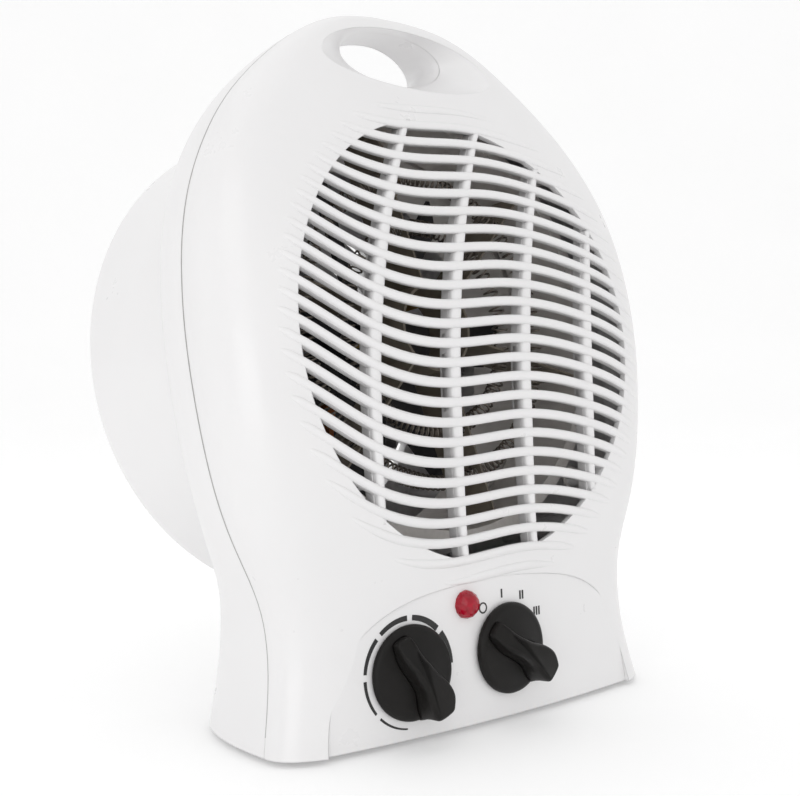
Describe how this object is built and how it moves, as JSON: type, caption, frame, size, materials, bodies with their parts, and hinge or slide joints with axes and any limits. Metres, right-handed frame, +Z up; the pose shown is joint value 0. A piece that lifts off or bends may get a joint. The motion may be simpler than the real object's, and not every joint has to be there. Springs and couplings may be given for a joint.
{
  "type": "fan convector heater",
  "caption": "Compact upright fan heater: egg-shaped white casing with a wavy round grille, a finger hole, two knobs, a pilot lamp, and a fan, motor and elements inside.",
  "frame": {"origin": "on the surface it stands on, under the middle of its bounding box", "axes": "+Z up; the grille and knobs face -Y, the air intake faces +Y; +X is to the right seen from the front"},
  "size_m": [0.2012, 0.1437, 0.2475],
  "materials": {
    "white_plastic": "satin gloss",
    "control_black": "satin",
    "lamp_red": "gloss",
    "shield_steel": "dull",
    "mica": "matt",
    "heater_wire": "dull",
    "bright_steel": "satin",
    "laminations": "oiled",
    "copper_winding": "varnished",
    "cast_bracket": "as cast",
    "fan_plastic": "satin",
    "control_case": "matt",
    "terminal_brass": "satin",
    "foot_pad": "matt",
    "panel_ink": "matt",
    "gland_grey": "matt"
  },
  "bodies": {
    "casing": {"front_casing": "white_plastic", "grille_ribs": "white_plastic", "rear_casing": "white_plastic", "rear_grille": "white_plastic", "foot_pads": "foot_pad", "casing_screws": "bright_steel", "heat_shield": "shield_steel", "shield_screws": "bright_steel", "mica_frame": "mica", "outer_coil": "heater_wire", "inner_coil": "heater_wire", "coil_terminals": "terminal_brass", "thermal_cutout": "control_case", "fan_duct": "shield_steel", "duct_screws": "bright_steel", "stator": "laminations", "motor_coil": "copper_winding", "motor_front_bracket": "cast_bracket", "motor_rear_bracket": "cast_bracket", "motor_screws": "bright_steel", "motor_mount": "bright_steel", "mount_screws": "bright_steel", "thermostat_body": "control_case", "selector_body": "control_case", "control_screws": "bright_steel", "thermostat_scale": "panel_ink", "selector_symbols": "panel_ink", "lamp_lens": "lamp_red", "lamp_holder": "control_black", "terminal_block": "white_plastic", "cord_gland": "gland_grey"},
    "fan": {"fan_impeller": "fan_plastic", "impeller_clip": "bright_steel", "motor_shaft": "bright_steel", "rotor": "laminations"},
    "thermostat_dial": {"thermostat_knob": "control_black", "thermostat_shaft": "bright_steel"},
    "selector_dial": {"selector_knob": "control_black", "selector_shaft": "bright_steel"}
  },
  "joints": [
    {"name": "fan_spin", "type": "hinge", "parent": "casing", "child": "fan", "pos_m": [0, 0.00741, 0.12966], "axis": [0, 0.9877, -0.1564], "continuous": true},
    {"name": "thermostat_turn", "type": "hinge", "parent": "casing", "child": "thermostat_dial", "pos_m": [-0.039, -0.05783, 0.02356], "axis": [0.0919, 0.9944, -0.0518], "range_deg": [-158, 112]},
    {"name": "selector_turn", "type": "hinge", "parent": "casing", "child": "selector_dial", "pos_m": [0.005, -0.05907, 0.02527], "axis": [0, 0.9986, -0.0524], "range_deg": [0, 93]}
  ]
}
